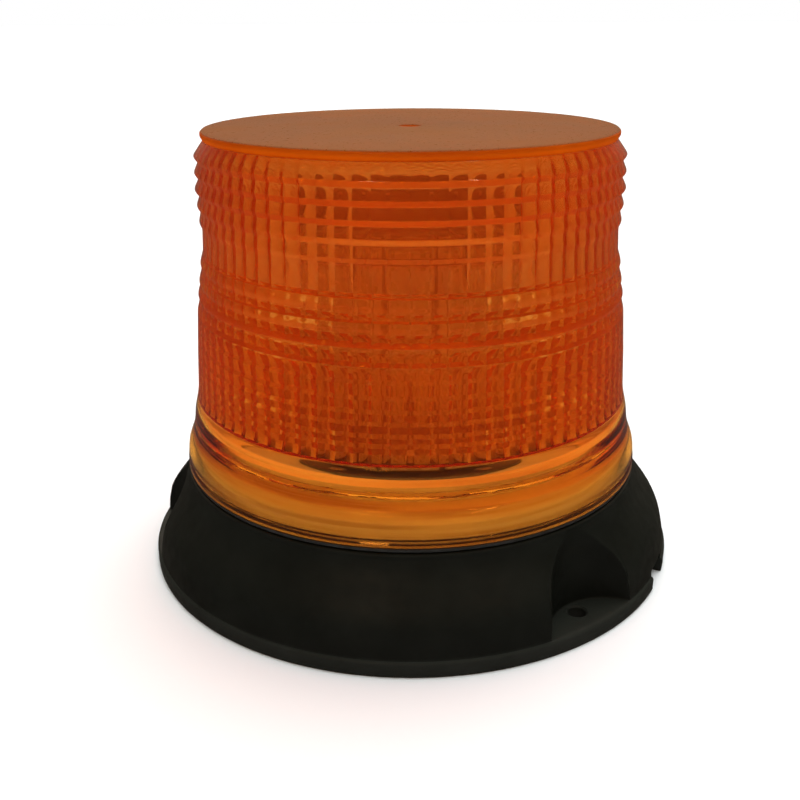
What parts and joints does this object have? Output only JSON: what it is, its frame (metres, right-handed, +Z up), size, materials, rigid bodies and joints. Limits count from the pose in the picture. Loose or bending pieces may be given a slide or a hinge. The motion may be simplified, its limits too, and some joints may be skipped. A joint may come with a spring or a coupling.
{
  "type": "led warning beacon",
  "caption": "Amber warning beacon: ringed, fluted screw-on lens over an LED tower, on a flared black base with screw pockets and a lead notch.",
  "frame": {"origin": "centre of the base's underside, on the surface it stands on", "axes": "+Z up along the lens axis; the picture looks along +Y at the front, with +X to its right"},
  "size_m": [0.1652, 0.1652, 0.1307],
  "materials": {
    "lens_amber": "clear amber polycarbonate, gloss",
    "base_black": "fine moulded texture, satin",
    "collar_ivory": "satin",
    "plate_white": "satin",
    "seal_rubber": "matt",
    "screw_steel": "zinc plated",
    "tower_aluminium": "satin extruded",
    "board_white": "white solder mask",
    "board_green": "green solder mask",
    "optic_clear": "polished clear",
    "component_black": "moulded epoxy",
    "can_sleeve": "shrink sleeve",
    "copper_wound": "enamelled copper winding",
    "wire_red": "PVC insulation",
    "wire_black": "PVC insulation"
  },
  "bodies": {
    "base": {"threaded_collar": "collar_ivory", "deck_plate": "plate_white", "base_housing": "base_black", "tower_core": "tower_aluminium", "tower_cap": "tower_aluminium", "driver_board": "board_green", "capacitor_1": "can_sleeve", "capacitor_2": "can_sleeve", "inductor": "copper_wound", "terminal_block": "component_black", "transistor_1": "component_black", "transistor_2": "component_black", "well_cover_seal": "seal_rubber", "well_cover": "base_black", "lead_grommet": "seal_rubber", "lead_red": "wire_red", "lead_black": "wire_black", "led_board_1": "board_white", "led_optic_1": "optic_clear", "led_board_2": "board_white", "led_optic_2": "optic_clear", "led_board_3": "board_white", "led_optic_3": "optic_clear", "led_board_4": "board_white", "led_optic_4": "optic_clear", "led_board_5": "board_white", "led_optic_5": "optic_clear", "led_board_6": "board_white", "led_optic_6": "optic_clear", "led_board_7": "board_white", "led_optic_7": "optic_clear", "led_board_8": "board_white", "led_optic_8": "optic_clear", "collar_screw_1": "screw_steel", "board_screw_1": "screw_steel", "collar_screw_2": "screw_steel", "board_screw_2": "screw_steel", "collar_screw_3": "screw_steel", "board_screw_3": "screw_steel", "tower_screw_1": "screw_steel", "cover_screw_1": "screw_steel", "tower_screw_2": "screw_steel", "cover_screw_2": "screw_steel", "tower_screw_3": "screw_steel", "cover_screw_3": "screw_steel", "tower_screw_4": "screw_steel", "cover_screw_4": "screw_steel", "cap_screw_1": "screw_steel", "cap_screw_2": "screw_steel"},
    "seal_carrier": {"lens_seal": "seal_rubber"},
    "lens": {"lens": "lens_amber"}
  },
  "joints": [
    {"name": "lens_lift", "type": "slide", "parent": "base", "child": "seal_carrier", "axis": [0, 0, 1], "range_m": [0, 0.00365]},
    {"name": "lens_unscrew", "type": "hinge", "parent": "seal_carrier", "child": "lens", "pos_m": [0, 0, 0.04], "axis": [0, 0, 1], "range_deg": [0, 435]}
  ],
  "couplings": [
    {"joint": "lens_lift", "follows": "lens_unscrew", "m_per_rad": 0.00047746}
  ]
}
